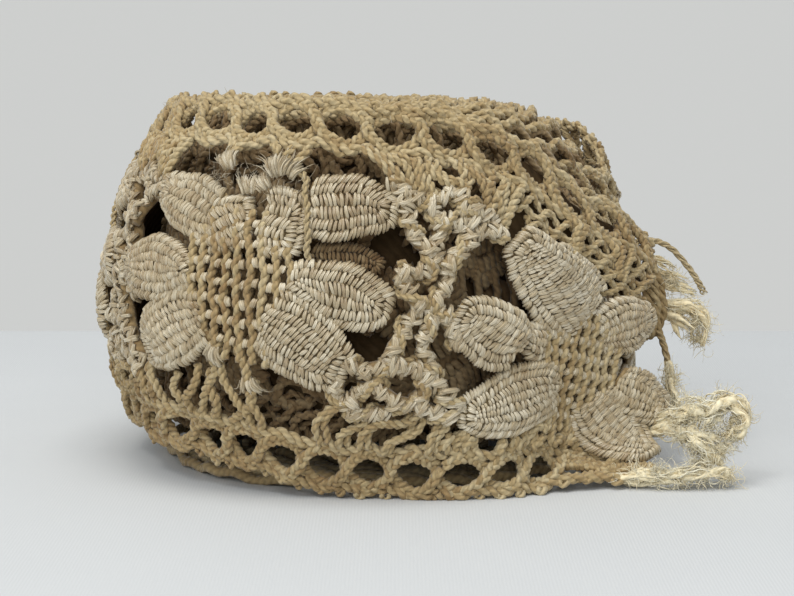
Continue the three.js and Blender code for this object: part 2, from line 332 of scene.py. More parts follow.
def band(yarns, ua, ub, sign, detail, deep=None):
    """Edge plait, two crossing plaits that make the eyelets, and border plait."""
    # deep, when given, takes the plaits that lie back; the script passes the second turn's piece, in cotton darkened as
    # painted shade
    if ub - ua < 0.8:
        return
    u = np.arange(ua, ub + 0.01, 0.25)
    x = u - EYE_AT[sign]
    wob = 0.22 * np.sin(u * 0.43 + sign) + 0.14 * np.sin(u * 1.07 + 2 * sign)
    n0 = 0.20 * np.sin(u * 0.31 + sign * 0.7) + 0.10 * np.sin(u * 0.93)
    edge = np.stack([u, sign * (EDGE_V + 0.26 * np.cos(2 * np.pi * x / EYE)) + 0.6 * wob, n0 + 0.05], -1)
    border = np.stack([u, sign * (BORDER_V - 0.24 * np.cos(2 * np.pi * x / EYE)) + wob, n0], -1)
    c = np.cos(np.pi * x / EYE)
    z = np.sign(c) * np.abs(c) ** 0.52
    dip = 0.36 * np.sin(np.pi * x / EYE)
    up_a = np.stack([u, sign * (EYE_V + 1.88 * z) + wob, n0 + dip], -1)
    up_b = np.stack([u, sign * (EYE_V - 1.88 * z) + wob, n0 - dip], -1)
    if detail == 0:
        plait(yarns, edge, 0.28, 2.7, 0.29, 0.27, 0.345, 6, 2, by_u=True, phase=sign)
        plait(yarns, border, 0.28, 2.8, 0.31, 0.28, 0.355, 6, 2, by_u=True, phase=1 + sign)
        for i, p in enumerate((up_a, up_b)):
            plait(yarns, p, 0.32, 2.7, 0.40, 0.22, 0.335, 5, 3, phase=2.1 * i + sign, jitter=0.05)
        # picots: small knots along the edge over each eyelet
        k = np.arange(math.ceil((ua - EYE_AT[sign]) / EYE), math.floor((ub - EYE_AT[sign]) / EYE) + 1) * EYE + EYE_AT[sign]
        if len(k):
            th = np.linspace(-2.5, 2.5, 9)
            for off, r in ((0.0, 0.33), (EYE / 2, 0.27)):
                loop = np.stack([k[:, None] + off + 0.44 * np.sin(th)[None], sign * (EDGE_V + 0.42 + 0.36 * np.cos(th))[None] + 0 * k[:, None],
                                 0.10 + 0 * k[:, None] + 0.15 * np.sin(2 * th)[None]], -1)
                loop += rng.normal(0, 0.10, (len(k), 1, 3))
                loop = loop[(loop[:, 0, 0] > ua) & (loop[:, -1, 0] < ub)]
                yarns.lace(loop, r, 6)
    elif detail == 1:
        plait(yarns, edge, 0.42, 2.55, 0.40, 0.30, 0.38, 5, 2, by_u=True)
        plait(deep or yarns, border, 0.42, 2.55, 0.38, 0.30, 0.37, 5, 2, by_u=True)
        for i, p in enumerate((up_a, up_b)):
            plait(deep or yarns, p, 0.42, 2.2, 0.28, 0.28, 0.33, 4, 2, phase=2.1 * i)
    else:
        if sign < 0:
            yarns.lace(resample(edge, 1.3)[0][None], 0.62, 5)
            return
        plait(yarns, edge, 0.62, 2.6, 0.36, 0.30, 0.40, 4, 2, by_u=True)
        plait(deep or yarns, border, 0.75, 2.8, 0.34, 0.26, 0.38, 4, 2, by_u=True)
        for i, p in enumerate((up_a, up_b) if sign > 0 else ()):
            q, _ = resample(p, 0.8)
            (deep or yarns).lace(q[None], 0.42, 4)


# woven leaves of a flower: base u v, tip u v, half width, bluntness of the base and tip, lift of base and tip, sideways tilt
PETALS_FULL = [
    (0.8,  6.5,  5.6,  6.4, 3.7, 0.36, 0.40, 0.20, 0.25,  0.02),    # woven block beside the ground
    (-6.0, 5.0, -0.4,  7.2, 2.7, 0.32, 0.36, 0.15, 0.20,  0.00),
    (6.4,  3.7, 14.2,  3.6, 2.0, 0.16, 0.06, -1.40, -1.40, 0.00),   # under layer seen in the gap
    (5.6,  8.4, 14.6,  8.7, 3.15, 0.30, 0.14, 0.50, 0.55,  0.03),
    (4.6,  1.1, 15.6, -0.7, 3.05, 0.12, 0.16, 0.70, 0.95,  0.06),
    (2.6, -3.0, 12.0, -7.4, 3.9, 0.26, 0.24, 0.55, 0.90,  0.08),
    (-4.9, -3.6, -14.2, -8.4, 4.1, 0.24, 0.20, 0.50, 0.60, 0.05),
    (-6.6, 0.3, -18.6, 0.6, 3.4, 0.08, 0.12, 0.40, 0.55,  0.03),
    (-4.6, 6.4, -13.8, 8.9, 3.2, 0.24, 0.20, 0.35, 0.45, -0.03),
]
PETALS_END = [
    (-6.4, -2.2, -9.4, -2.2, 2.3, 0.30, 0.30, 0.20, 0.30, 0.00),
    (1.0,  0.0,  8.4,  5.4, 3.6, 0.22, 0.14, 0.35, 0.55,  0.03),
    (5.4, -5.6, 12.6, -8.0, 3.7, 0.24, 0.20, 0.65, 0.90,  0.03),
    (2.8, -7.8, 11.2, -15.6, 4.1, 0.24, 0.18, 0.55, 0.85, -0.05),
    (-2.8, -7.2, -15.2, -10.8, 4.0, 0.18, 0.12, 0.50, 0.65, 0.05),
    (-9.8, -3.2, -18.2, 0.2, 3.4, 0.20, 0.14, 0.80, 0.95, 0.05),
    (-2.0, 1.0, -12.6, 8.6, 4.6, 0.28, 0.20, 0.50, 0.65, -0.05),
    (-1.2, 3.4, -8.0, 9.2, 3.6, 0.30, 0.26, 0.10, 0.20, -0.06),
]


def petal(floss, pad, u0, row, dome=0.42, detail=0, size=1.0):
    bu, bv, tu, tv, hw, blunt_b, blunt_t, lb, lt, tilt = row
    base = np.array([u0 + bu, bv])
    tip = np.array([u0 + tu, tv])
    ax = tip - base
    ln = np.linalg.norm(ax)
    ax /= ln
    la = np.array([-ax[1], ax[0]])
    sway = rng.uniform(0, 6.28)

    def half(t):
        t = np.clip(t, 0.0, 1.0)
        return hw * np.clip(np.sin(np.pi * (blunt_b + (1 - blunt_t * 0.55 - blunt_b) * t ** 0.95)), 0.02, 1) ** 0.66

    def point(t, f):
        """t along the petal, f across it in -1..1"""
        y = half(t) * f
        n = (lb + (lt - lb) * t + dome * (1 - f ** 2) * np.sin(np.pi * np.clip(t, 0.02, 0.98)) ** 0.5 + tilt * y + 0.15
             + 0.10 * np.sin(5 * t + 2 * f + sway))
        b = 0.25 * np.sin(np.pi * t) * math.sin(sway)
        return np.stack([base[0] + ax[0] * ln * t + la[0] * (y + b), base[1] + ax[1] * ln * t + la[1] * (y + b), n], -1)

    # the pad below the floss, in the darkest cotton tint: painted shade in the gaps between strokes
    tt, ff = np.meshgrid(np.linspace(0.0, 1.0, 15), np.linspace(-0.94, 0.94, 9), indexing="ij")
    face = point(tt, ff)
    face[..., 2] -= 0.30
    if detail:
        face = face[::2, ::2]
    pad.patch(face, 0.45, 0.02)
    if detail == 1:
        return
    # floss strokes lie in rounds that follow the outline, and a row down the middle
    hand = 1.0 if rng.random() > 0.5 else -1.0

    def plan(t, y):
        """(u, v, n) of a place y mm off the petal's axis"""
        return point(t, y / np.maximum(half(t), 0.05))

    cs, ds, ls, outer = [], [], [], []
    pitch, long = 0.40 * size, 1.18 * size
    inset = [0.40, 1.38] if hw > 2.9 else [0.40]
    for r, d in enumerate(inset):
        t = np.linspace(0.02, 1 - d / ln, 60)
        y = half(t) - d
        ok = y > 0.12
        t, y = t[ok], y[ok]
        if len(t) < 4:
            continue
        ring_t = np.concatenate([t, t[::-1]])
        ring_y = np.concatenate([y, -y[::-1]])
        x = ring_t * ln
        arc = np.concatenate([[0], np.cumsum(np.hypot(np.diff(x), np.diff(ring_y)))])
        n = max(3, int(arc[-1] / pitch))
        sa = (np.arange(n) + 0.5) / n * arc[-1] + rng.normal(0, 0.04, n)
        xx, yy = np.interp(sa, arc, x), np.interp(sa, arc, ring_y)
        e = 0.9
        tx = np.interp(sa + e, arc, x) - np.interp(sa - e, arc, x)
        ty = np.interp(sa + e, arc, ring_y) - np.interp(sa - e, arc, ring_y)
        tl = np.maximum(np.hypot(tx, ty), 1e-6)
        tx, ty = tx / tl, ty / tl
        lean = hand * (0.30 if r else 0.45) + rng.normal(0, 0.14, n)
        dx, dy = -ty + tx * lean, tx + ty * lean       # across the round, leaning along it
        dl = np.hypot(dx, dy)
        c = plan(xx / ln, yy)
        cs.append(c)
        ds.append(np.stack([ax[0] * dx / dl + la[0] * dy / dl, ax[1] * dx / dl + la[1] * dy / dl, 0 * dx], -1))
        ls.append(long * rng.uniform(0.92, 1.14, n))
        # which end is the outer one
        outer.append(np.full(n, 1.0 if r == 0 else 0.0) * np.where((-ty) * (xx - 0.5 * ln) * 0.2 + tx * yy > 0, 1.0, -1.0))
    margin = 1.88 if len(inset) == 2 else 0.92
    rest = hw - margin
    if rest > 0.3:
        n = int(ln / pitch)
        t = (np.arange(n) + 0.5) / n
        room = 2 * (half(t) - margin)
        ok = (room > 0.50) & (t < 1 - (2.0 if len(inset) == 2 else 0.9) / ln)
        t, room = t[ok], room[ok]
        rows = max(1, int(round(2 * rest / (1.15 * size))))
        for j in range(rows):
            y = room * ((j + 0.5) / rows - 0.5)
            lean = -hand * 0.30 + rng.normal(0, 0.14, len(t))
            cs.append(plan(t + (0.5 * pitch / ln if j % 2 else 0), y))
            d = np.stack([la[0] + ax[0] * lean, la[1] + ax[1] * lean, 0 * lean], -1)
            ds.append(d / np.linalg.norm(d, axis=1)[:, None])
            ls.append(np.minimum(room / rows * 1.25, 1.7) * rng.uniform(0.92, 1.08, len(t)))
            outer.append(np.zeros(len(t)))
    c, d, l, out = np.concatenate(cs), np.concatenate(ds), np.concatenate(ls), np.concatenate(outer)
    tau = np.array([-0.5, -0.34, 0.0, 0.34, 0.5])
    pts = c[:, None, :] + d[:, None, :] * (l[:, None] * tau[None])[:, :, None]
    # tilt of the petal carries over to the ends of each stroke; the rim turns down over the edge
    slope = tilt * (d[:, 0] * la[0] + d[:, 1] * la[1])
    pts[..., 2] += slope[:, None] * l[:, None] * tau[None]
    pts[..., 2] += 0.18 - 1.15 * (np.abs(tau) ** 2.2)[None] * np.minimum(l, 1.3)[:, None] + rng.normal(0, 0.05, (len(c), 1))
    pts[..., 2] -= 0.75 * np.clip(out[:, None] * tau[None] + 0.05, 0, 1) * (np.abs(out) > 0)[:, None]
    pts += rng.normal(0, 0.035, (len(c), 1, 3))
    rad = np.array([0.08, 0.205, 0.24, 0.205, 0.08])[None] * size * rng.uniform(0.84, 1.12, (len(c), 1))
    if LOD == 2:
        pts, rad = pts[:, [0, 1, 3, 4]], rad[:, [0, 2, 2, 4]]
    floss.lace(pts, rad, (5, 4, 4)[LOD], 1.05)


def ground(cotton, floss, u0, v0, detail, left=-7.0, right=5.2, half_h=6.2):
    """The open centre of a flower: upright twisted pairs, tied side by side with floss."""
    n_cord = 9 if detail == 0 else 6
    xs = np.linspace(left + 0.3, right - 0.3, n_cord)
    cu = (left + right) / 2
    row = 1.9

    def place(x, v, n):
        return np.stack([u0 + x - 0.14 * v, v0 + v - 0.03 * (x - cu), n + 0.25 * (1 - ((x - cu) / 7) ** 2) + 0 * v], -1)

    for i, x in enumerate(xs):
        reach = half_h * math.sqrt(max(0.18, 1 - ((x - cu) / (0.62 * (right - left))) ** 2))
        reach = row * math.ceil(reach / row)
        v = np.arange(-reach, reach + 0.01, 0.25)
        path = place(x + 0.10 * np.sin(1.1 * v + 2.3 * i), v, 0.30 + 0.10 * np.cos(2 * np.pi * v / row))
        if detail == 0:
            plait(cotton, path, 0.24, row, 0.17, 0.22, 0.335, 6, 2)
        else:
            q, _ = resample(path, 0.9)
            cotton.lace(q[None], 0.48, 4)
    if detail:
        return
    # floss ties fill the gap between neighbours, row by row
    pts = []
    for i in range(n_cord - 1):
        x = (xs[i] + xs[i + 1]) / 2
        reach = half_h * math.sqrt(max(0.05, 1 - ((x - cu) / (0.60 * (right - left))) ** 2))
        k = np.arange(-4, 5)
        v = k * row + 0.10 * row * (i % 2)
        pts.append(place(np.full(len(v), x), v, 0.42)[np.abs(v) < reach])
    pts = np.concatenate(pts)
    pts = pts + rng.normal(0, 0.08, pts.shape)
    d = np.stack([rng.normal(0.22, 0.22, len(pts)), np.ones(len(pts)), 0 * pts[:, 0]], -1)
    d /= np.linalg.norm(d, axis=1)[:, None]
    tau = np.array([-0.5, -0.36, 0.0, 0.36, 0.5])
    for off in (-0.13, 0.13):
        q = pts[:, None, :] + d[:, None, :] * tau[None, :, None] * rng.uniform(0.75, 1.05, (len(pts), 1, 1))
        q[..., 0] += off
        q[..., 2] += 0.16 - 0.9 * (np.abs(tau) ** 2)[None]
        floss.lace(q, np.array([0.10, 0.22, 0.26, 0.22, 0.10])[None] * rng.uniform(0.8, 1.15, (len(pts), 1)), 5, 0.95)


def wrapped(floss, cotton, path, fat=1.0, detail=0):
    """A cord wrapped in soft floss: short strokes lie round it, in knots that slant one way and then the other."""
    if detail:
        plait(cotton, path, 0.45, 2.4, 0.38 * fat, 0.30, 0.42 * fat, 5, 2)
        return
    c, s = resample(path, 0.18 * (1.0, 1.45, 2.4)[LOD])
    t = np.gradient(c[:, :2], axis=0)
    t /= np.maximum(np.linalg.norm(t, axis=1), 1e-9)[:, None]
    lat = np.stack([-t[:, 1], t[:, 0]], -1)
    # the cotton core in the darkest tint: painted shade in the gaps between the floss strokes
    cotton.lace(c[None, ::4] - np.array([0, 0, 0.15]), 0.66 * fat, 5, 1.0, np.array([[0.05]]))
    m = len(c)
    knot = 0.70 * fat * (1 + 0.24 * np.sin(2 * np.pi * s / 1.7 + rng.uniform(0, 6.28))) + rng.normal(0, 0.03, m)
    hand = np.where((s / 0.85).astype(int) % 2, 1.0, -1.0)
    tau = np.array([-1.0, -0.55, 0.0, 0.55, 1.0])
    th = (rng.uniform(-0.85, 0.85, m))[:, None] + rng.uniform(0.6, 0.95, m)[:, None] * tau[None]
    slant = hand * rng.uniform(0.15, 0.62, m) * fat
    q = np.repeat(c[:, None, :], 5, 1) + rng.normal(0, 0.05, (m, 1, 3))
    q[..., :2] += lat[:, None, :] * (knot[:, None] * np.sin(th))[..., None] + t[:, None, :] * (slant[:, None] * tau[None])[..., None]
    q[..., 2] += knot[:, None] * np.cos(th) - 0.10
    w = np.array([0.14, 0.21, 0.235, 0.21, 0.14])[None] * fat * (1.0, 1.15, 1.5)[LOD] * rng.uniform(0.78, 1.2, (m, 1))
    if LOD == 2:
        q, w = q[:, [0, 1, 3, 4]], w[:, [0, 2, 2, 4]]
    floss.lace(q, w, (5, 4, 4)[LOD], 0.95)


# plaits between two flowers, u from the left flower's centre: points u v, height
PLAITS = [
    ([(13.0, 11.7), (15.2, 10.6), (17.6, 10.5), (20.2, 11.4), (22.6, 10.2), (25.2, 9.6)], 0.5),
    ([(14.4, 10.4), (15.5, 8.7), (17.0, 6.6), (18.5, 5.7), (18.9, 4.2), (17.5, 3.2), (15.4, 2.7)], 0.7),
    ([(18.5, 5.8), (20.2, 4.5), (20.7, 2.6), (19.9, 0.8), (19.3, -1.2)], 0.5),
    ([(21.0, 10.4), (22.5, 8.3), (21.8, 6.2), (20.4, 4.4)], 0.7),
    ([(22.4, 8.1), (24.4, 8.3), (26.2, 8.5)], 0.5),
    ([(15.3, 2.6), (17.1, 1.2), (18.3, -0.6), (17.2, -2.7), (16.2, -4.6), (17.4, -6.2)], 0.8),
    ([(20.7, -0.4), (19.5, -2.7), (20.1, -5.1), (21.7, -7.3), (23.6, -8.7), (25.2, -10.3)], 0.6),
    ([(20.8, -0.2), (22.4, -1.8), (23.6, -3.2)], 0.5),
    ([(12.4, -6.1), (14.3, -6.4), (16.2, -6.0), (17.8, -5.7)], 0.6),
    ([(11.0, -7.9), (11.7, -9.9), (13.6, -11.0)], 0.5),
    ([(13.6, -8.4), (15.9, -8.2), (17.7, -9.1), (19.7, -9.7), (22.5, -10.4), (24.8, -11.3)], 0.7),
    ([(17.4, -6.1), (20.2, -6.5), (20.9, -8.4), (19.7, -9.7)], 0.5),
    ([(13.7, -8.5), (13.1, -10.1), (14.7, -11.2), (17.2, -10.3)], 0.5),
]
# links across the ring at the top, where the lace is seen close
FILL = [
    ([(17.4, 10.4), (18.4, 9.2), (19.1, 7.8), (19.2, 6.0)], 0.45),
    ([(18.8, 8.6), (20.4, 8.9), (22.2, 8.4)], 0.35),
]
LEGS = [
    [(10.2, 14.9), (12.0, 13.9), (13.7, 12.7), (15.2, 11.6)],
    [(13.4, 14.9), (15.2, 13.7), (16.0, 12.1), (16.2, 10.7)],
    [(16.2, 14.9), (16.8, 13.3), (17.3, 11.7), (17.9, 10.7)],
    [(17.0, 14.4), (18.8, 12.8), (20.2, 12.3), (20.9, 11.2)],
    [(19.8, 14.8), (21.1, 13.5), (20.9, 12.1), (20.0, 11.2)],
    [(21.2, 14.6), (23.0, 13.3), (24.6, 11.9), (25.4, 10.2)],
    [(25.3, 14.8), (26.3, 13.1), (26.4, 11.0), (26.6, 9.2)],
    [(10.6, -14.8), (10.3, -12.7), (11.1, -11.1), (12.4, -10.2)],
    [(13.3, -14.8), (13.1, -13.3), (14.6, -12.3), (15.0, -10.9)],
    [(16.0, -14.8), (15.5, -12.9), (16.9, -11.6), (19.6, -11.4), (20.4, -10.4)],
    [(18.5, -14.9), (18.7, -13.5), (20.4, -12.7), (21.0, -11.2)],
    [(23.5, -14.8), (23.0, -13.3), (23.8, -12.1), (24.4, -10.9)],
    [(25.8, -14.9), (25.2, -13.7), (26.6, -12.7)],
]
BARS = [
    [(-5.4, 14.9), (-4.7, 13.5), (-5.0, 11.9)], [(-3.2, 14.9), (-4.1, 13.3), (-4.5, 11.8)],
    [(0.0, 14.9), (1.2, 13.7), (1.2, 12.2)], [(2.7, 14.9), (2.1, 13.5), (2.5, 11.9)], [(4.2, 14.8), (3.5, 13.2), (3.2, 11.6)],
    [(3.4, 12.4), (4.9, 11.1), (5.4, 8.4), (5.9, 5.4), (6.6, 3.3)],
    [(-3.8, -5.4), (-3.1, -9.4), (-4.7, -12.0), (-5.5, -14.8)], [(-2.8, -5.6), (-2.1, -9.4), (-0.9, -11.5), (0.7, -13.1), (1.5, -14.8)],
    [(-0.8, -5.6), (1.2, -8.8), (1.9, -10.8), (1.1, -12.7), (-1.5, -14.8)], [(2.2, -9.4), (1.4, -11.2), (2.6, -13.0), (3.0, -14.8)],
    [(-12.5, 14.9), (-13.6, 12.6), (-14.2, 10.6)], [(-14.6, -14.8), (-13.8, -12.6), (-14.4, -10.2)],
    [(-16.6, -14.8), (-15.6, -13.0), (-16.0, -10.4)], [(-12.4, -14.8), (-12.8, -13.0), (-13.6, -11.4), (-13.4, -9.8)],
    [(-9.6, -14.8), (-8.8, -13.2), (-9.6, -11.8), (-9.0, -10.4)], [(-7.2, -14.8), (-7.6, -13.0), (-6.2, -11.4), (-6.0, -9.2)],
    [(-3.6, -14.8), (-3.0, -13.2), (-4.0, -11.6), (-4.4, -9.6)], [(-16.2, 14.9), (-16.8, 12.8), (-15.6, 10.8)],
    [(-15.0, 14.9), (-15.4, 12.6), (-17.0, 10.6)],
]


def column(cotton, floss, u0, detail, upto=1e9):
    """u0 is the centre of the flower before the column."""
    for i, (p, h) in enumerate(PLAITS if LOD else PLAITS + FILL):
        q = smooth([(u0 + a, b, h - (0.6 if LOD else 0.0) + 0.25 * math.sin(2.1 * j + i)) for j, (a, b) in enumerate(p)])
        wrapped(floss, cotton, q, 1.14, detail)
        if detail == 0 and LOD == 0:
            # a thin cotton cord winds round each wrapped one
            c, s = resample(q, 0.3)
            t = np.gradient(c[:, :2], axis=0)
            t /= np.maximum(np.linalg.norm(t, axis=1), 1e-9)[:, None]
            th = 2 * np.pi * s / 4.6 + 1.7 * i
            c[:, :2] += np.stack([-t[:, 1], t[:, 0]], -1) * (1.0 * np.sin(th))[:, None]
            c[:, 2] += 0.72 * np.cos(th)
            plait(cotton, c, 0.27, 1.5, 0.23, 0.21, 0.26, 6, 2, phase=i)
    for i, p in enumerate(LEGS):
        q = smooth([(u0 + a, b, 0.1 + 0.5 * math.sin(math.pi * j / (len(p) - 1)) + 0.15 * (i % 2)) for j, (a, b) in enumerate(p)])
        if detail == 0:
            for off in (-0.40, 0.40):
                s = q.copy()
                s[:, 0] += off * (1 + 0.3 * np.sin(np.linspace(0, 5, len(s)) + i))
                s[:, 1] += 0.3 * off
                s[:, 2] += 0.2 * np.cos(np.linspace(0, 6, len(s)) + 3 * off)
                plait(cotton, s, 0.27, 1.7, 0.24, 0.22, 0.28, 6, 2, phase=i)
        else:
            plait(cotton, q, 0.33, 2.0, 0.30, 0.26, 0.36, 5, 2, phase=i)


def tuft(floss, u, v, aim, spread, reach, m, rise=0.9):
    """A fan of worn floss: strands leave one knot and bow outwards, with a few loose hairs."""
    m = int(m * (1.0, 0.7, 0.4)[LOD])
    x = np.linspace(-1, 1, m) + rng.normal(0, 0.12, m)
    tau = np.linspace(0, 1, 7)
    for count, r, keep in ((m, 0.17, 1.0), (m // 2, 0.055, 0.0)):
        x = x[:count] if keep else rng.uniform(-1.3, 1.3, count)
        ln = reach * (rng.uniform(0.80, 1.05, count) if keep else rng.uniform(0.9, 1.5, count))
        st = np.array([u, v, 0.70]) + np.stack([0.55 * x * math.sin(aim), -0.55 * x * math.cos(aim), 0 * x], -1) + rng.normal(0, 0.10, (count, 3))
        ang = aim - spread * x[:, None] * (0.25 + 1.25 * tau ** 1.3)[None] + rng.normal(0, 0.10, (count, 1))
        du = np.cumsum(np.cos(ang), 1) * (ln / 7)[:, None]
        dv = np.cumsum(np.sin(ang), 1) * (ln / 7)[:, None]
        dn = rise * (1 - 0.5 * x ** 2)[:, None] * rng.uniform(0.6, 1.1, count)[:, None] * np.sin(np.pi * 0.85 * tau)[None] - 0.15 * tau[None]
        q = st[:, None, :] + np.stack([du, dv, dn], -1)
        floss.lace(q, np.array([0.85, 1.0, 1.05, 1.05, 1.0, 0.9, 0.55])[None] * r * rng.uniform(0.75, 1.2, (count, 1)), 5 if keep else 3, 0.85)


def bars(cotton, floss, u0, detail, shift=0.0, tufts=True, skip=()):
    """Above and below each flower: cords off the borders, tied with floss."""
    for i, p in enumerate(BARS):
        if i in skip:
            continue
        q = smooth([(u0 + a, b + (shift if abs(b) < 12 else 0), 0.1 + 0.6 * math.sin(math.pi * j / (len(p) - 1)) + (0.5 if i == 5 else 0.0)) for j, (a, b) in enumerate(p)])
        if detail == 0:
            slim = 0.68 if i == 5 else 1.0
            plait(cotton, q, 0.27, 1.7, 0.28 * slim, 0.25, 0.31 * slim, 6, 2, phase=i)
        else:
            plait(cotton, q, 0.33, 2.0, 0.28, 0.26, 0.34, 5, 2, phase=i)
    if detail == 0 and tufts:
        tuft(floss, u0 + 1.9, 11.0 + shift, 1.95, 0.55, 2.6, 28)
        tuft(floss, u0 + 2.9, 11.2 + shift, 1.05, 0.45, 1.9, 14)
        tuft(floss, u0 - 4.3, 11.0 + shift, 1.9, 0.50, 2.2, 20)
        tuft(floss, u0 - 1.4, 8.8 + shift, 1.75, 0.55, 2.2, 18, 0.5)
        tuft(floss, u0 + 0.6, 9.6 + shift, 2.2, 0.60, 1.8, 14, 0.5)
        tuft(floss, u0 + 1.4, -9.0 + shift, -1.3, 0.8, 1.8, 16, 0.6)
        tuft(floss, u0 - 2.9, -6.4 + shift, -1.6, 0.5, 2.4, 16, 0.5)


# ------------------------------------------------------------------ materials
def nodes_of(name):
    m = bpy.data.materials.new(name)
    m.use_nodes = True
    nt = m.node_tree
    b = nt.nodes["Principled BSDF"]
    return m, nt, b


def link(nt, a, b):
    nt.links.new(a, b)


def yarn_material(name, dark, mid, light, rough, spec, sheen, ply, filament, bump):
    """dark..light by yarn and by place; ply lines wind round the yarn, filaments run along it."""
    m, nt, bsdf = nodes_of(name)
    N = nt.nodes.new
    tint = N("ShaderNodeAttribute"); tint.attribute_name = "tint"
    uv = N("ShaderNodeUVMap"); uv.uv_map = "yarn"
    sep = N("ShaderNodeSeparateXYZ"); link(nt, uv.outputs[0], sep.inputs[0])
    co = N("ShaderNodeTexCoord")
    big = N("ShaderNodeTexNoise"); big.inputs["Scale"].default_value = 90.0; big.inputs["Detail"].default_value = 3.0
    link(nt, co.outputs["Object"], big.inputs["Vector"])
    fine = N("ShaderNodeTexNoise"); fine.inputs["Scale"].default_value = 1500.0; fine.inputs["Detail"].default_value = 4.0
    link(nt, co.outputs["Object"], fine.inputs["Vector"])
    mixv = N("ShaderNodeMath"); mixv.operation = "MULTIPLY_ADD"; mixv.inputs[1].default_value = 0.43
    link(nt, tint.outputs["Fac"], mixv.inputs[0])
    add = N("ShaderNodeMath"); add.operation = "MULTIPLY_ADD"; add.inputs[1].default_value = 0.75
    link(nt, big.outputs["Fac"], add.inputs[0])
    add2 = N("ShaderNodeMath"); add2.operation = "MULTIPLY_ADD"; add2.inputs[1].default_value = 0.45; add2.inputs[2].default_value = -0.30
    link(nt, fine.outputs["Fac"], add2.inputs[0])
    link(nt, add2.outputs[0], add.inputs[2])
    link(nt, add.outputs[0], mixv.inputs[2])
    ramp = N("ShaderNodeValToRGB")
    e = ramp.color_ramp.elements
    e[0].position, e[0].color = 0.12, (*dark, 1)
    e[1].position, e[1].color = 0.85, (*light, 1)
    k = e.new(0.48); k.color = (*mid, 1)
    link(nt, mixv.outputs[0], ramp.inputs[0])
    # ply and filament height from the yarn's own coordinates (length mm, turn round the yarn)
    ph = N("ShaderNodeMath"); ph.operation = "MULTIPLY_ADD"; ph.inputs[1].default_value = ply
    link(nt, sep.outputs["X"], ph.inputs[0])
    tw = N("ShaderNodeMath"); tw.operation = "MULTIPLY"; tw.inputs[1].default_value = filament
    link(nt, sep.outputs["Y"], tw.inputs[0])
    link(nt, tw.outputs[0], ph.inputs[2])
    fr = N("ShaderNodeMath"); fr.operation = "MULTIPLY"; fr.inputs[1].default_value = 2 * math.pi
    link(nt, ph.outputs[0], fr.inputs[0])
    sn = N("ShaderNodeMath"); sn.operation = "SINE"; link(nt, fr.outputs[0], sn.inputs[0])
    hs = N("ShaderNodeMath"); hs.operation = "MULTIPLY_ADD"; hs.inputs[1].default_value = 0.5
    link(nt, sn.outputs[0], hs.inputs[0]); link(nt, fine.outputs["Fac"], hs.inputs[2])
    bp = N("ShaderNodeBump"); bp.inputs["Strength"].default_value = bump; bp.inputs["Distance"].default_value = 0.00012
    link(nt, hs.outputs[0], bp.inputs["Height"])
    link(nt, bp.outputs[0], bsdf.inputs["Normal"])
    # painted shade: the grooves between plies are a little darker
    ply_groove_shade = N("ShaderNodeMapRange"); ply_groove_shade.inputs["From Min"].default_value = -1.0; ply_groove_shade.inputs["From Max"].default_value = 0.4
    ply_groove_shade.inputs["To Min"].default_value = 0.78; ply_groove_shade.inputs["To Max"].default_value = 1.0
    link(nt, sn.outputs[0], ply_groove_shade.inputs["Value"])
    mul = N("ShaderNodeMixRGB"); mul.blend_type = "MULTIPLY"; mul.inputs[0].default_value = 1.0
    link(nt, ramp.outputs[0], mul.inputs[1]); link(nt, ply_groove_shade.outputs[0], mul.inputs[2])
    link(nt, mul.outputs[0], bsdf.inputs["Base Color"])
    rr = N("ShaderNodeMapRange"); rr.inputs["To Min"].default_value = rough - 0.07; rr.inputs["To Max"].default_value = rough + 0.07
    link(nt, big.outputs["Fac"], rr.inputs["Value"]); link(nt, rr.outputs[0], bsdf.inputs["Roughness"])
    bsdf.inputs["Specular IOR Level"].default_value = spec
    bsdf.inputs["Sheen Weight"].default_value = sheen
    bsdf.inputs["Sheen Roughness"].default_value = 0.45
    bsdf.inputs["Sheen Tint"].default_value = (1.0, 0.95, 0.85, 1)
    return m


COTTON = yarn_material("cotton", (0.29, 0.18, 0.075), (0.46, 0.345, 0.175), (0.60, 0.495, 0.30), 0.80, 0.28, 0.25, 1.1, 2.0, 0.7)
FLOSS = yarn_material("floss", (0.33, 0.225, 0.108), (0.55, 0.445, 0.275), (0.78, 0.695, 0.52), 0.30, 0.80, 0.20, 0.30, 5.0, 0.55)
# cotton darkened as painted shade, for the turns below the outer one
COTTON_PAINTED_SHADE = yarn_material("cotton_painted_shade", (0.17, 0.10, 0.045), (0.28, 0.19, 0.095), (0.38, 0.28, 0.155), 0.86, 0.2, 0.15, 1.1, 2.0, 0.6)
# near-black cotton, painted deep shade: for the sheet in the inner turns and the backing behind the loose end
COTTON_PAINTED_DEEP_SHADE = yarn_material("cotton_painted_deep_shade", (0.06, 0.036, 0.016), (0.11, 0.07, 0.033), (0.18, 0.125, 0.068), 0.92, 0.1, 0.0, 0.6, 3.0, 0.6)
# the fluff's own cream, pushed near white as painted light against the shade among the fibres
FRAYED_CREAM_PAINTED_LIGHT = yarn_material("frayed", (0.90, 0.70, 0.38), (0.97, 0.87, 0.61), (0.98, 0.95, 0.79), 0.80, 0.15, 0.35, 0.8, 2.0, 0.4)
# cotton a little darker: painted shade for the plait's underside at the cut and the yarn hanging from it
COTTON_PAINTED_UNDERSIDE_SHADE = yarn_material("cotton_painted_underside_shade", (0.29, 0.19, 0.08), (0.44, 0.32, 0.16), (0.57, 0.45, 0.25), 0.82, 0.25, 0.2, 1.1, 2.0, 0.7)


def finish_piece(yarns, mat, node):
    ob = yarns.build(mat)
    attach(ob, "root")
    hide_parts(node)
    return ob


# ------------------------------------------------------------------ outer turn and loose end
U_OUTER = u_at(-292.0)           # the outer turn starts here, under the loose end
U_SECOND = u_at(-652.0)

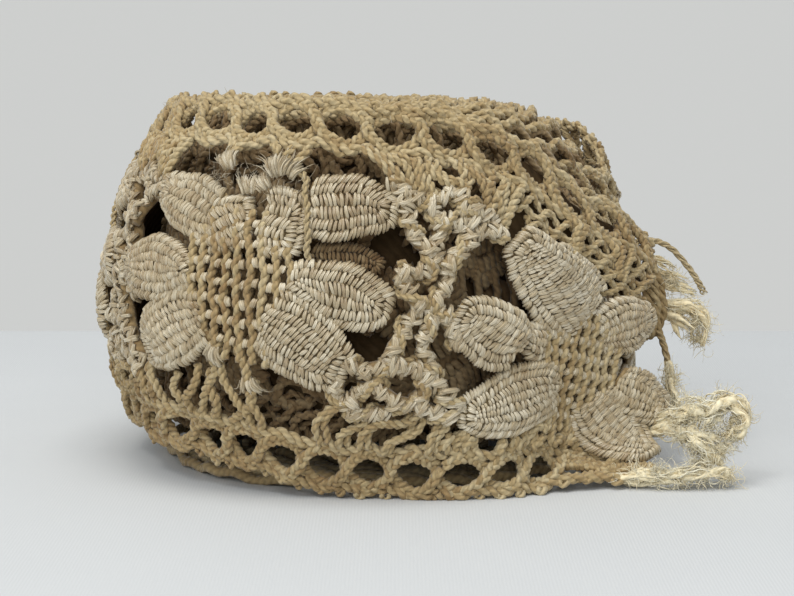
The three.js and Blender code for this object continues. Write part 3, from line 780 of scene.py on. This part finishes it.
roll_bands = Yarns("lace_outer_borders")
end_bands = Yarns("loose_end_borders")
for sgn in (-1, 1):
    LOD = 2
    band(roll_bands, U_OUTER, -58.0, sgn, 0)
    LOD = 1
    band(roll_bands, -58.05, -30.0, sgn, 0)
    LOD = 0
    band(roll_bands, -30.05, U_SEAM, sgn, 0)
    band(end_bands, U_SEAM - 0.05, U_CUT - 0.3, sgn, 0)

front_cotton, front_floss = Yarns("lace_outer_cords_front"), Yarns("lace_outer_floss_front")
back_cotton, back_floss = Yarns("lace_outer_cords_back"), Yarns("lace_outer_floss_back")
end_cotton, end_floss = Yarns("loose_end_cords"), Yarns("loose_end_floss")
# the turns below the outer one, drawn in cotton darkened as painted shade
second = Yarns("lace_second_turn")

for k in range(-4, 2):
    u0 = k * REPEAT
    LOD = 0 if k >= 0 else 1 if k == -1 else 2
    co, fl = (end_cotton, end_floss) if k == 1 else (front_cotton, front_floss) if k >= -1 else (back_cotton, back_floss)
    if k > -4:
        for r in (PETALS_END if k == 1 else PETALS_FULL):
            # the under layer's petals go to the second turn's piece, in cotton darkened as painted shade
            under = r[7] < -1.0
            r = r if k >= 0 or under else (*r[:7], r[7] - 0.7, *r[8:])
            petal(second if under else fl, second if under else co, u0, r, 0.42 if k >= 0 else 0.30, 0, 0.92 if k == 1 else 1.0 if k == 0 else 1.3 if k == -1 else 1.85)
    if k == 1:
        ground(co, fl, u0 - 0.2, -5.0, 0, -6.0, 5.6, 7.2)
        bars(co, fl, u0, 0, -3.0, False, (5,))
        # the lower border draws together into one plait at the cut
        for dv, dn in ((0.0, 0.5), (0.95, 0.2)):
            plait(co, smooth([(U_CUT - 9.0, -17.0 + dv, 0.1), (U_CUT - 6.0, -17.4 + dv, dn), (U_CUT - 3.0, -17.9 + dv, dn), (U_CUT + 0.4, -18.3 + 0.8 * dv, dn)]), 0.27, 1.8, 0.40, 0.30, 0.36, 6, 3)
        for j, vr in enumerate((12.9, 10.7, 8.5, 6.5)):
            for flip in (-1, 1):
                u = np.arange(27.0 + 2.0 * j, U_CUT - 1.6 - 0.5 * j, 0.25)
                w = flip * np.sin(np.pi * u / 2.6 + 1.57 * j)
                net = np.stack([u, vr + 1.16 * w + 0.2 * np.sin(0.7 * u + j), 0.05 - 0.12 * j + 0.22 * np.cos(np.pi * u / 2.6 + 1.57 * j) * flip], -1)
                plait(co, net, 0.30, 1.8, 0.20, 0.18, 0.255, 5, 2)
    elif k > -4:
        ground(co, fl, u0, 0.0, 0)
        bars(co, fl, u0, 0)
    if k < 1:
        column(co, fl, u0, 0)

# a near-black sheet, painted shade: it stands for the shaded side of the turn below, close behind the loose end's net
end_shade = Yarns("loose_end_shade")
gu, gv = np.meshgrid(np.linspace(U_SEAM + 1.0, U_CUT - 2.2, 32), np.linspace(7.0, 18.4, 13), indexing="ij")
end_shade.patch(np.stack([gu, gv, -1.15 + 0.12 * np.sin(2.3 * gu) * np.cos(1.9 * gv)], -1), 0.20, 0.3)

# ------------------------------------------------------------------ second turn, seen through the openings
second_bands = Yarns("lace_second_borders")
for sgn in (-1, 1):
    LOD = 0
    # the upper edge plait stays plain cotton; the deeper plaits go to the second turn's piece, darkened as painted
    # shade
    band(second_bands, U_SECOND, U_OUTER, sgn, 1 if sgn > 0 else 2, second)
LOD = 2
for k in range(-8, -3):
    for r in PETALS_FULL:
        petal(second, second, k * REPEAT, r, 0.3, 2 if k >= -5 else 1, 2.0)
    ground(second, second, k * REPEAT, 0.0, 1)
    bars(second, second, k * REPEAT, 1)
    if k < -4:
        column(second, second, k * REPEAT, 1)
for v0 in (-13.4, -10.9, 12.6):
    for flip in (-1, 1):
        u = np.arange(u_at(-460.0), U_OUTER, 0.25)
        w = flip * np.sin(np.pi * u / 2.7)
        net = np.stack([u, v0 + 1.05 * w, -0.45 + 0.25 * np.cos(np.pi * u / 2.7) * flip], -1)
        plait(second, net, 0.33, 2.2, 0.24, 0.22, 0.30, 5, 2)
LOD = 0

# ------------------------------------------------------------------ the turns inside
inner = Yarns("lace_inner_turns")
for sgn in (-1, 1):
    # the inner turns' deeper plaits also go to the second turn's piece, darkened as painted shade
    band(inner, U_MIN + 0.5, U_SECOND, sgn, 2, second)
# a flat dark sheet stands for the deep turns' lace: painted shade where light does not reach
web = Yarns("lace_inner_painted_shade_sheet")
web_u = np.arange(U_MIN + 0.5, u_at(-94.0), 1.7)
uu, vv = np.meshgrid(web_u, np.linspace(-14.8, 14.8, 9), indexing="ij")
web.patch(np.stack([uu, vv, -0.35 - 0.55 * ease((uu - U_SECOND) / 6)], -1), 0.6, 0.4)

# ------------------------------------------------------------------ frayed cut end
fray, fluff = Yarns("frayed_yarns"), Yarns("frayed_fluff")


def strand_path(points, n=7):
    return smooth(np.array(points, float), n)


def frayed(points, strands, spread, radius, fuzz=0, fuzz_len=2.5, ply=True, wander=0.35, target=None, tint=None):
    """A yarn end in the roll's own mm (x, y, z): plied, or opened into wavy strands, with fibres."""
    target = fray if target is None else target
    c = strand_path(points, 7 if ply else 9)
    k = len(c)
    s = np.linspace(0, 1, k)
    t = np.gradient(c, axis=0)
    t /= np.linalg.norm(t, axis=1)[:, None]
    up = np.array([0.12, -1.0, 0.10])
    a = np.cross(t, up)
    a /= np.linalg.norm(a, axis=1)[:, None]
    b = np.cross(a, t)
    ln = np.linalg.norm(np.diff(c, axis=0), axis=1).sum()
    strands = strands if ply else int(0.95 * strands)
    radius = radius if ply else 0.80 * radius
    for i in range(strands):
        ph = 2 * np.pi * i / strands
        if ply:
            rr, tw = spread * (1 + 1.6 * np.clip(s - 0.75, 0, 1) * 2), ph + 2 * np.pi * ln * s / 3.2
            q = c + a * (rr * np.cos(tw))[:, None] + b * (rr * np.sin(tw))[:, None]
        else:
            rr = spread * rng.uniform(0.15, 1.15) * (0.45 + 0.75 * s)
            q = c + (a * math.cos(ph) + b * math.sin(ph)) * rr[:, None]
            for axis in (a, b):
                for f, h in ((0.8, 0.9), (1.7, 0.5), (3.4, 0.22)):
                    q += axis * (wander * h * np.minimum(1, 2.5 * s) * np.sin(f * ln * s * rng.uniform(0.8, 1.2) + rng.uniform(0, 6.28)))[:, None]
            stop = max(4, int(k * rng.uniform(0.6, 1.0)))
            q = np.stack([np.interp(np.linspace(0, stop - 1, k), np.arange(k), q[:, d]) for d in range(3)], -1)
        q[:, 2] = np.maximum(q[:, 2], radius)
        taper = np.interp(s, [0, 0.8, 1], [1, 0.9, 0.45])
        q = q[None] + AXIS
        target.tubes(q, np.broadcast_to(up, q.shape), radius * taper[None] * rng.uniform(0.7, 1.25), 5 if ply else 3, 1.0, tint)
    if not ply:
        for i in range(4):
            q = c + (a * rng.normal(0, 0.5) + b * rng.normal(0, 0.5)) * (spread * (0.4 + 0.8 * s))[:, None]
            for axis in (a, b):
                q += axis * (wander * 0.7 * np.minimum(1, 2.5 * s) * np.sin(1.1 * ln * s * rng.uniform(0.8, 1.2) + rng.uniform(0, 6.28)))[:, None]
            r = 0.34 * spread * (1 + 0.35 * np.sin(2.2 * ln * s + rng.uniform(0, 6.28))) * np.interp(s, [0, 0.12, 0.75, 1], [0.45, 1, 0.9, 0.15])
            q[:, 2] = np.maximum(q[:, 2], r + 0.05)
            q = q[None] + AXIS
            fray.tubes(q, np.broadcast_to(up, q.shape), r[None], 6, 1.0, np.array([[0.30]]))
    if fuzz:
        fibres(c, fuzz, fuzz_len, spread, start=0.55 if ply else 0.08)


def fibres(c, m, length, spread, curl=0.9, radius=0.032, start=0.35, bias=1.3):
    """Loose fibres along the last part of a path."""
    k, m = len(c), int(0.33 * m)
    s0 = rng.uniform(start, 1.0, m) * (k - 1)
    i = np.clip(s0.astype(int), 0, k - 2)
    p = c[i] + (c[i + 1] - c[i]) * (s0 - i)[:, None]
    t = np.gradient(c, axis=0)[i]
    t /= np.linalg.norm(t, axis=1)[:, None]
    p = p + rng.normal(0, spread * 0.6, (m, 3))
    d = t * bias + rng.normal(0, 0.50, (m, 3))
    d /= np.linalg.norm(d, axis=1)[:, None]
    n = 5
    pts = [p]
    step = (length * rng.uniform(0.45, 1.15, m) / n)[:, None]
    spin = rng.normal(0, 1, (m, 3))
    spin /= np.linalg.norm(spin, axis=1)[:, None]
    turn = (rng.uniform(1.2, 4.6, m) * curl / n)[:, None]
    for j in range(n - 1):
        d = d * np.cos(turn) + np.cross(spin, d) * np.sin(turn) + rng.normal(0, 0.06, (m, 3))
        d /= np.linalg.norm(d, axis=1)[:, None]
        pts.append(pts[-1] + d * step)
    q = np.stack(pts, 1)
    q[..., 2] = np.maximum(q[..., 2], 0.1)
    up = np.broadcast_to(np.array([0.2, -1.0, 0.3]), q.shape)
    fluff.tubes(q + AXIS, up, np.array([1, 1, 1, 0.85, 0.4])[None] * radius * rng.uniform(0.6, 1.3, (m, 1)), 3)


# upper border's end: one yarn arcs out, others are short and open
frayed([(30.2, -3.4, 24.9), (32.6, -3.2, 25.0), (34.6, -3.0, 24.0), (36.6, -3.0, 21.8), (37.8, -3.1, 20.0), (38.4, -3.2, 18.8)], 3, 0.21, 0.25, 120, 0.8, target=end_cotton, tint=np.array([[0.95]]))
frayed([(30.8, -3.0, 23.4), (32.8, -2.6, 22.6), (35.0, -2.4, 21.4)], 9, 0.45, 0.13, 90, 1.8, False)
frayed([(31.0, -2.6, 22.0), (33.4, -2.4, 21.0), (36.6, -2.2, 19.8)], 10, 0.60, 0.13, 130, 2.0, False)
frayed([(31.6, -2.6, 20.6), (34.4, -2.4, 19.8), (37.6, -2.4, 18.8)], 10, 0.65, 0.12, 140, 2.2, False)
frayed([(33.2, -3.0, 17.6), (35.2, -3.4, 17.6), (37.2, -3.6, 17.2), (38.4, -3.6, 15.6), (38.0, -3.6, 12.8)], 20, 1.00, 0.12, 420, 2.8, False)
frayed([(33.2, -3.0, 16.6), (35.0, -3.4, 16.2), (36.6, -3.4, 14.4)], 12, 0.90, 0.14, 160, 2.0, False)
# the plait's underside turns over at the cut, in a darker cotton that paints its shade
fold = Yarns("loose_end_fold")
for dx, dy in ((-0.75, 0.3), (0.0, 0.0), (0.75, 0.3)):
    frayed([(31.0 + 0.6 * dx, -3.4 + dy, 22.0), (32.1 + dx, -3.8 + dy, 20.6), (32.6 + dx, -4.2 + dy, 18.6), (32.6 + dx, -4.6 + dy, 16.6), (32.1 + 0.9 * dx, -5.0 + dy, 14.9), (31.2 + 0.5 * dx, -5.0 + dy, 14.2)],
           3, 0.34, 0.34, 0, 1.2, True, target=fold)
# a yarn hangs down and ends in fluff
frayed([(32.9, -5.0, 14.8), (33.4, -5.6, 13.4), (33.8, -6.8, 11.4), (34.0, -8.0, 9.6)], 3, 0.22, 0.22, 0, 1.0, True, target=fold)
frayed([(33.8, -7.0, 11.4), (33.9, -8.4, 9.0), (34.2, -9.2, 6.4)], 14, 0.80, 0.11, 300, 2.2, False)
# lower border's end: one part lies along the table, the rest lifts into soft loops
frayed([(25.5, -22.0, 1.0), (28.0, -22.6, 1.2), (31.0, -23.0, 1.4), (34.0, -23.2, 1.5)], 22, 0.80, 0.15, 420, 2.6, False, wander=0.35)
frayed([(31.0, -22.6, 1.4), (33.6, -23.0, 1.7), (36.4, -23.0, 1.9), (39.0, -22.6, 1.7)], 16, 0.85, 0.13, 360, 2.6, False, wander=0.45)
frayed([(29.2, -14.0, 4.4), (31.2, -16.0, 5.0), (33.4, -19.6, 5.6), (35.4, -21.4, 4.9), (36.4, -21.6, 3.2), (35.4, -21.8, 1.8)], 18, 0.95, 0.13, 360, 2.6, False, wander=0.5)
frayed([(29.2, -13.0, 5.4), (31.2, -15.0, 6.4), (33.4, -18.8, 7.4), (35.4, -20.4, 8.6), (36.6, -20.4, 7.4), (35.6, -20.6, 6.2)], 16, 0.90, 0.13, 330, 2.6, False, wander=0.5)
frayed([(30.6, -14.6, 5.8), (33.8, -18.4, 7.0), (36.6, -20.3, 8.4), (39.0, -20.3, 9.2), (40.4, -20.3, 7.8), (39.8, -20.2, 5.8), (38.0, -20.4, 5.2)], 18, 1.00, 0.12, 420, 3.0, False, wander=0.6)

# soft clumps of short curled fibres
for x, y, z, size, m in ((35.0, -20.4, 8.2, 1.3, 330), (34.0, -19.6, 7.2, 0.9, 180), (38.2, -20.3, 9.0, 0.9, 220), (40.0, -20.3, 7.8, 0.9, 240), (39.4, -20.2, 5.9, 0.9, 220),
                         (37.4, -20.5, 7.2, 1.0, 150), (36.8, -20.8, 5.4, 1.2, 150), (38.2, -20.9, 4.2, 1.0, 130), (37.6, -21.4, 3.0, 1.0, 130), (34.6, -21.0, 6.0, 1.0, 100),
                         (35.2, -21.4, 4.7, 1.2, 300), (33.8, -20.4, 5.2, 0.9, 160), (36.2, -21.6, 2.8, 1.0, 220), (38.0, -20.8, 3.8, 0.9, 160),
                         (28.6, -22.8, 1.4, 0.7, 160), (30.8, -23.0, 1.5, 0.8, 240), (33.2, -23.1, 1.5, 0.8, 260), (35.8, -23.0, 1.5, 0.8, 220), (38.4, -22.7, 1.5, 0.8, 200),
                         (35.4, -3.4, 16.9, 0.9, 200), (37.6, -3.6, 15.9, 0.9, 240), (37.9, -3.6, 13.4, 0.8, 200), (34.6, -2.6, 20.2, 0.8, 150),
                         (34.0, -8.4, 9.6, 0.9, 200), (34.2, -9.0, 7.8, 1.0, 220), (34.0, -9.2, 6.2, 0.7, 130)):
    way = rng.normal(0, 1, 3) * [1.0, 0.5, 1.0]
    way *= 0.8 * size / np.linalg.norm(way)
    fibres(np.array([[x, y, z]]) + way * np.array([[-1.0], [0.0], [1.0]]), int(1.75 * m), 2.2, 0.9 * size, 0.9, 0.032, 0.0, 1.2)
    core = np.array([[x, y, z]]) + way * np.linspace(-1.1, 1.1, 7)[:, None]
    core[:, 2] = np.maximum(core[:, 2], 0.9)
    core = core[None] + AXIS + rng.normal(0, 0.12, (1, 7, 3))
    fray.tubes(core, np.broadcast_to(np.array([0.2, -1.0, 0.3]), core.shape), np.array([[0.12, 0.55, 0.80, 0.70, 0.82, 0.5, 0.1]]) * size * 0.62, 6, 1.0, np.array([[0.30]]))

# ------------------------------------------------------------------ fine hairs standing off the worn lace
hairs = Yarns("lace_fuzz")


def hair(m, ua, ub, va, vb, height, length):
    u, v = rng.uniform(ua, ub, m), rng.uniform(va, vb, m)
    d = rng.normal(0, 1, (m, 3)) * [1, 1, 0.5] + [0, 0, 0.7]
    d /= np.linalg.norm(d, axis=1)[:, None]
    bend = rng.normal(0, 0.5, (m, 3))
    tau = np.linspace(0, 1, 4)
    ln = (length * rng.uniform(0.4, 1.2, m))[:, None, None]
    q = np.stack([u, v, np.full(m, height)], -1)[:, None, :] + d[:, None, :] * tau[None, :, None] * ln + bend[:, None, :] * (tau ** 2)[None, :, None] * ln
    hairs.lace(q, np.array([0.026, 0.024, 0.022, 0.012])[None], 3)


hair(110, -7, 6, 9.0, 12.0, 1.3, 1.2)
hair(110, -40, U_SEAM, 18.8, 19.8, 0.2, 0.6)

finish_piece(roll_bands, COTTON, "wound_roll")
finish_piece(front_cotton, COTTON, "wound_roll")
finish_piece(front_floss, FLOSS, "wound_roll")
finish_piece(back_cotton, COTTON, "wound_roll")
finish_piece(back_floss, FLOSS, "wound_roll")
finish_piece(second_bands, COTTON, "wound_roll")
finish_piece(second, COTTON_PAINTED_SHADE, "wound_roll")
finish_piece(inner, COTTON, "wound_roll")
finish_piece(web, COTTON_PAINTED_DEEP_SHADE, "wound_roll")
finish_piece(hairs, FLOSS, "wound_roll")
finish_piece(end_bands, COTTON, "loose_end")
finish_piece(end_cotton, COTTON, "loose_end")
finish_piece(end_floss, FLOSS, "loose_end")
finish_piece(end_shade, COTTON_PAINTED_DEEP_SHADE, "loose_end")
finish_piece(fold, COTTON_PAINTED_UNDERSIDE_SHADE, "loose_end")
finish_piece(fray, FRAYED_CREAM_PAINTED_LIGHT, "loose_end")
finish_piece(fluff, FRAYED_CREAM_PAINTED_LIGHT, "loose_end")


# ------------------------------------------------------------------ floor, light and camera
def floor_material():
    m, nt, b = nodes_of("white_cloth")
    N = nt.nodes.new
    co = N("ShaderNodeTexCoord")
    wv = N("ShaderNodeTexWave"); wv.inputs["Scale"].default_value = 900.0; wv.inputs["Distortion"].default_value = 1.5
    link(nt, co.outputs["Object"], wv.inputs["Vector"])
    ns = N("ShaderNodeTexNoise"); ns.inputs["Scale"].default_value = 40.0
    link(nt, co.outputs["Object"], ns.inputs["Vector"])
    rp = N("ShaderNodeValToRGB")
    rp.color_ramp.elements[0].color = (0.625, 0.644, 0.653, 1)
    rp.color_ramp.elements[1].color = (0.655, 0.674, 0.683, 1)
    link(nt, ns.outputs["Fac"], rp.inputs[0])
    sep = N("ShaderNodeSeparateXYZ"); link(nt, co.outputs["Object"], sep.inputs[0])
    rise = N("ShaderNodeMapRange"); rise.inputs["From Min"].default_value = 0.001; rise.inputs["From Max"].default_value = 0.022
    link(nt, sep.outputs["Z"], rise.inputs["Value"])
    wall = N("ShaderNodeMixRGB"); wall.inputs[2].default_value = (0.60, 0.60, 0.58, 1)
    link(nt, rise.outputs[0], wall.inputs[0]); link(nt, rp.outputs[0], wall.inputs[1])
    link(nt, wall.outputs[0], b.inputs["Base Color"])
    bp = N("ShaderNodeBump"); bp.inputs["Strength"].default_value = 0.06; bp.inputs["Distance"].default_value = 0.0002
    link(nt, wv.outputs["Fac"], bp.inputs["Height"]); link(nt, bp.outputs[0], b.inputs["Normal"])
    b.inputs["Roughness"].default_value = 0.9
    return m


def sweep():
    """Cloth floor whose far edge turns down, so nothing stands close behind the roll."""
    prof = [(-1.2, 0.0), (0.092, 0.0)]
    for a in np.linspace(0, np.pi / 2, 12)[1:]:
        prof.append((0.092 + 0.012 * np.sin(a), 0.012 * np.cos(a) - 0.012))
    prof.append((0.104, -0.4))
    verts, faces = [], []
    for i, (y, z) in enumerate(prof):
        verts += [(-1.5, y, z), (1.5, y, z)]
        if i:
            faces.append((2 * i - 2, 2 * i - 1, 2 * i + 1, 2 * i))
    me = bpy.data.meshes.new("floor_cloth")
    me.from_pydata(verts, [], faces)
    for p in me.polygons:
        p.use_smooth = True
    me.materials.append(floor_material())
    ob = bpy.data.objects.new("floor_cloth", me)
    bpy.context.scene.collection.objects.link(ob)
    return ob


def backdrop():
    """A plain pale wall a long way behind, bright by itself."""
    m, nt, b = nodes_of("pale_wall")
    b.inputs["Base Color"].default_value = (0.5, 0.5, 0.49, 1)
    b.inputs["Roughness"].default_value = 1.0
    b.inputs["Emission Color"].default_value = (0.995, 1.0, 0.97, 1)
    b.inputs["Emission Strength"].default_value = 0.375
    me = bpy.data.meshes.new("far_wall")
    me.from_pydata([(-2.5, 1.6, -1.0), (2.5, 1.6, -1.0), (2.5, 1.6, 1.4), (-2.5, 1.6, 1.4)], [], [(0, 1, 2, 3)])
    me.materials.append(m)
    ob = bpy.data.objects.new("far_wall", me)
    bpy.context.scene.collection.objects.link(ob)
    return ob


sweep()
backdrop()

sc = bpy.context.scene
cam = bpy.data.cameras.new("camera")
cam.sensor_width = 36.0
cam.lens = 36.0 * 2137.0 / 794.0
cam.clip_start = 0.01
cam_ob = bpy.data.objects.new("camera", cam)
cam_ob.location = ((2.6 + AXIS[0]) * 0.001, (-250.0 + AXIS[1]) * 0.001, 0.051)
cam_ob.rotation_euler = (math.radians(90.0) - math.atan((298.0 - 15.0) / 2137.0), 0, 0)
sc.collection.objects.link(cam_ob)
sc.camera = cam_ob


def area(name, loc, target, size, power, colour):
    l = bpy.data.lights.new(name, "AREA")
    l.shape = "RECTANGLE"
    l.size, l.size_y = size
    l.energy = power
    l.color = colour
    o = bpy.data.objects.new(name, l)
    o.location = loc
    o.rotation_euler = (Vector(target) - Vector(loc)).to_track_quat("-Z", "Y").to_euler()
    sc.collection.objects.link(o)


area("sky", (-0.02, -0.10, 0.58), (0, 0, 0.02), (0.34, 0.28), 1.40, (1.0, 0.985, 0.95))
area("glint", (-0.16, -0.30, 0.46), (0, 0, 0.02), (0.07, 0.07), 0.38, (1.0, 0.985, 0.95))
area("front_fill", (-0.24, -0.56, 0.40), (0, 0, 0.02), (1.0, 0.5), 2.65, (0.98, 0.99, 1.0))
w = bpy.data.worlds.new("world")
w.use_nodes = True
w.node_tree.nodes["Background"].inputs[0].default_value = (0.90, 0.93, 0.96, 1)
w.node_tree.nodes["Background"].inputs[1].default_value = 0.46
sc.world = w
sc.view_settings.view_transform = "Standard"
sc.view_settings.look = "None"
